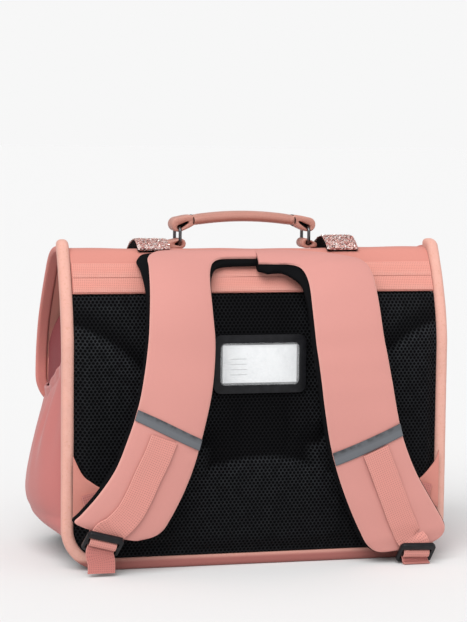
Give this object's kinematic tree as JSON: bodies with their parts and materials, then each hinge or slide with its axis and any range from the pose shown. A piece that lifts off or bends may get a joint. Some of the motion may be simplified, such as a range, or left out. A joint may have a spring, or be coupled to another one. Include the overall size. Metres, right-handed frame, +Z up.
{
  "type": "school satchel",
  "caption": "Wide school satchel worn on the back, with a curved flap, a stiffened mesh back, two padded shoulder straps, gathered side pockets and a carrying handle on rings.",
  "frame": {"origin": "on the ground under the middle of the base", "axes": "+Z up, -Y towards the side with the shoulder straps, +Y towards the flap's front, +X to the right as seen from the strap side"},
  "size_m": [0.4302, 0.2263, 0.337],
  "materials": {
    "pink_leather": "soft grained leather, light pink",
    "pink_cloth": "fine woven polyester, salmon pink",
    "edge_tape": "rounded binding tape, pale peach pink",
    "deep_pink": "plain woven polyester, deeper pink",
    "black_mesh": "black spacer mesh with hexagonal holes",
    "black_cloth": "black padded cloth",
    "black_plastic": "moulded black plastic",
    "grey_tape": "grey reflective tape",
    "glitter": "flake glitter set in clear coating",
    "dark_metal": "dark gunmetal plating",
    "clear_film": "clear flexible film",
    "plain_card": "printed paper card"
  },
  "bodies": {
    "root": {"bag_body": "pink_cloth", "base_panel": "black_cloth", "base_reflector_left": "grey_tape", "base_reflector_right": "grey_tape", "back_board": "black_cloth", "back_mesh_pad": "black_mesh", "back_binding": "edge_tape", "front_binding": "edge_tape", "flap": "pink_cloth", "flap_binding": "edge_tape", "side_pocket_left": "deep_pink", "side_pocket_right": "deep_pink", "shoulder_strap_left": "pink_leather", "shoulder_strap_right": "pink_leather", "strap_padding_left": "black_cloth", "strap_padding_right": "black_cloth", "strap_reflector_left": "grey_tape", "strap_reflector_right": "grey_tape", "strap_webbing_left": "pink_cloth", "strap_webbing_right": "pink_cloth", "ladder_lock_left": "black_plastic", "ladder_lock_right": "black_plastic", "lower_webbing_left": "deep_pink", "lower_webbing_right": "deep_pink", "corner_wing_left": "pink_cloth", "corner_wing_right": "pink_cloth", "card_frame": "black_plastic", "card": "plain_card", "card_window": "clear_film", "glitter_backing_left": "black_cloth", "glitter_backing_right": "black_cloth", "glitter_strap_left": "glitter", "glitter_strap_right": "glitter", "clasp_left": "dark_metal", "clasp_right": "dark_metal", "handle_ring_left": "dark_metal", "handle_ring_right": "dark_metal", "handle_loop_left": "pink_leather", "handle_loop_right": "pink_leather", "ring_anchor_left": "pink_leather", "ring_anchor_right": "pink_leather", "handle_grip": "pink_leather"}
  },
  "joints": []
}
